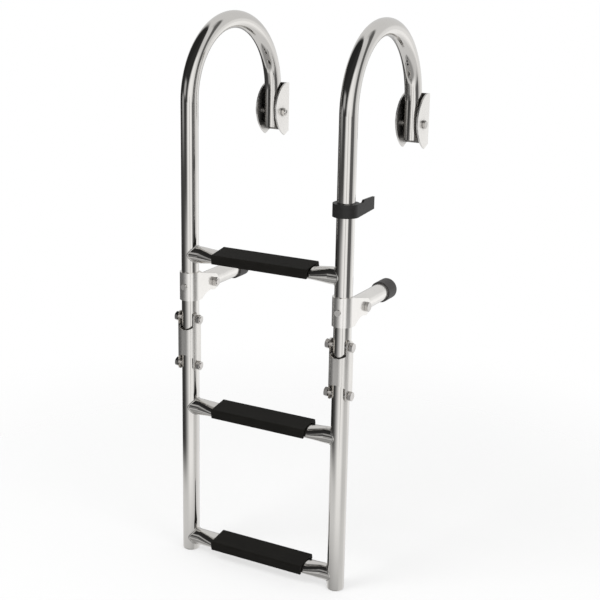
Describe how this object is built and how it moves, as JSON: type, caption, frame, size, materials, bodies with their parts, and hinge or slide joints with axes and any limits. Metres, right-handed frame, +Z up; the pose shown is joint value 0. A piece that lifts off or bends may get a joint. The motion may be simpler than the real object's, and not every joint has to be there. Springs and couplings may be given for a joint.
{
  "type": "folding boarding ladder",
  "caption": "Stainless tube boarding ladder with hooked uprights, end brackets, matt black treads, swing-out standoff legs and a lower section that folds up on hinge links.",
  "frame": {"origin": "on the flat rear face of the left end bracket's base plate, level with its bolt", "axes": "+X across the ladder to its right as seen from the front, +Y to the rear, towards the boat or dock, +Z up"},
  "size_m": [0.2888, 0.2548, 0.7975],
  "materials": {
    "polished_steel": "mirror polished stainless steel",
    "sheet_steel": "satin stainless sheet",
    "bolt_steel": "plain stainless steel",
    "tread_plastic": "matt moulded plastic",
    "dark_rubber": "matt",
    "clip_plastic": "satin"
  },
  "bodies": {
    "upper_section": {"left_hook_upright": "polished_steel", "left_upper_hinge_bolt": "bolt_steel", "left_upper_hinge_nut": "bolt_steel", "left_standoff_saddle": "sheet_steel", "left_saddle_screw": "bolt_steel", "left_leg_bolt": "bolt_steel", "left_leg_nut": "bolt_steel", "left_end_bracket": "sheet_steel", "left_bracket_bolt": "bolt_steel", "left_bracket_nut": "bolt_steel", "left_bracket_spacers": "bolt_steel", "right_hook_upright": "polished_steel", "right_upper_hinge_bolt": "bolt_steel", "right_upper_hinge_nut": "bolt_steel", "right_standoff_saddle": "sheet_steel", "right_saddle_screw": "bolt_steel", "right_leg_bolt": "bolt_steel", "right_leg_nut": "bolt_steel", "right_end_bracket": "sheet_steel", "right_bracket_bolt": "bolt_steel", "right_bracket_nut": "bolt_steel", "right_bracket_spacers": "bolt_steel", "top_step_bar": "polished_steel", "top_tread": "tread_plastic"},
    "hinge_links": {"left_hinge_link": "sheet_steel", "right_hinge_link": "sheet_steel"},
    "lower_section": {"left_lower_upright": "polished_steel", "right_lower_upright": "polished_steel", "middle_step_bar": "polished_steel", "middle_tread": "tread_plastic", "bottom_step_bar": "polished_steel", "bottom_tread": "tread_plastic", "left_lower_hinge_bolt": "bolt_steel", "left_lower_hinge_nut": "bolt_steel", "right_lower_hinge_bolt": "bolt_steel", "right_lower_hinge_nut": "bolt_steel"},
    "left_leg": {"left_leg_tube": "polished_steel", "left_leg_cap": "dark_rubber"},
    "right_leg": {"right_leg_tube": "polished_steel", "right_leg_cap": "dark_rubber"},
    "clip": {"retaining_clip": "clip_plastic"}
  },
  "joints": [
    {"name": "link_fold", "type": "hinge", "parent": "upper_section", "child": "hinge_links", "pos_m": [0.11721, -0.23989, -0.277], "axis": [-1, 0, 0], "range_deg": [0, 90]},
    {"name": "lower_section_fold", "type": "hinge", "parent": "hinge_links", "child": "lower_section", "pos_m": [0.11721, -0.23989, -0.3465], "axis": [-1, 0, 0], "range_deg": [0, 90]},
    {"name": "left_leg_fold", "type": "hinge", "parent": "upper_section", "child": "left_leg", "pos_m": [-0.00679, -0.19489, -0.2303], "axis": [-1, 0, 0], "range_deg": [0, 90]},
    {"name": "right_leg_fold", "type": "hinge", "parent": "upper_section", "child": "right_leg", "pos_m": [0.24122, -0.19489, -0.2303], "axis": [-1, 0, 0], "range_deg": [0, 90]},
    {"name": "clip_turn", "type": "hinge", "parent": "upper_section", "child": "clip", "pos_m": [0.24122, -0.23489, -0.09], "axis": [0, 0, 1], "range_deg": [0, 180]}
  ]
}
